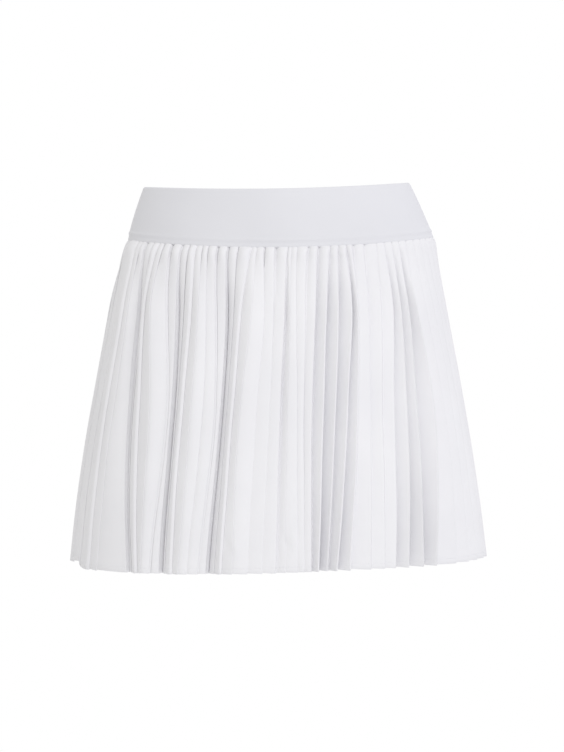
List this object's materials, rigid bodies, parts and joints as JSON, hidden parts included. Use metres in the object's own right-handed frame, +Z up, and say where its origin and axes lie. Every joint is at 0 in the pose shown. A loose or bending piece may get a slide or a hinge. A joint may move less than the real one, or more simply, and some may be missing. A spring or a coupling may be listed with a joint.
{
  "type": "tennis skirt",
  "caption": "Short flared tennis skirt of fine knife pleats under a wide smooth elastic waistband, hollow and filled out as worn.",
  "frame": {"origin": "middle of the waistband's ring, halfway up the band at its side seams, where the wearer's waist holds the skirt", "axes": "+Z up the wearer, out of the waist opening; the front of the skirt faces -Y; the side seam on the left of a front view is at -X"},
  "size_m": [0.3736, 0.3, 0.3429],
  "materials": {
    "waistband": "smooth dense white elastic knit with a soft sheen",
    "pleated_cloth": "thin white woven polyester with pressed knife pleats and a soft satin sheen"
  },
  "bodies": {
    "root": {"waistband_front": "waistband", "waistband_back": "waistband", "skirt_front": "pleated_cloth", "skirt_back": "pleated_cloth"}
  },
  "joints": []
}
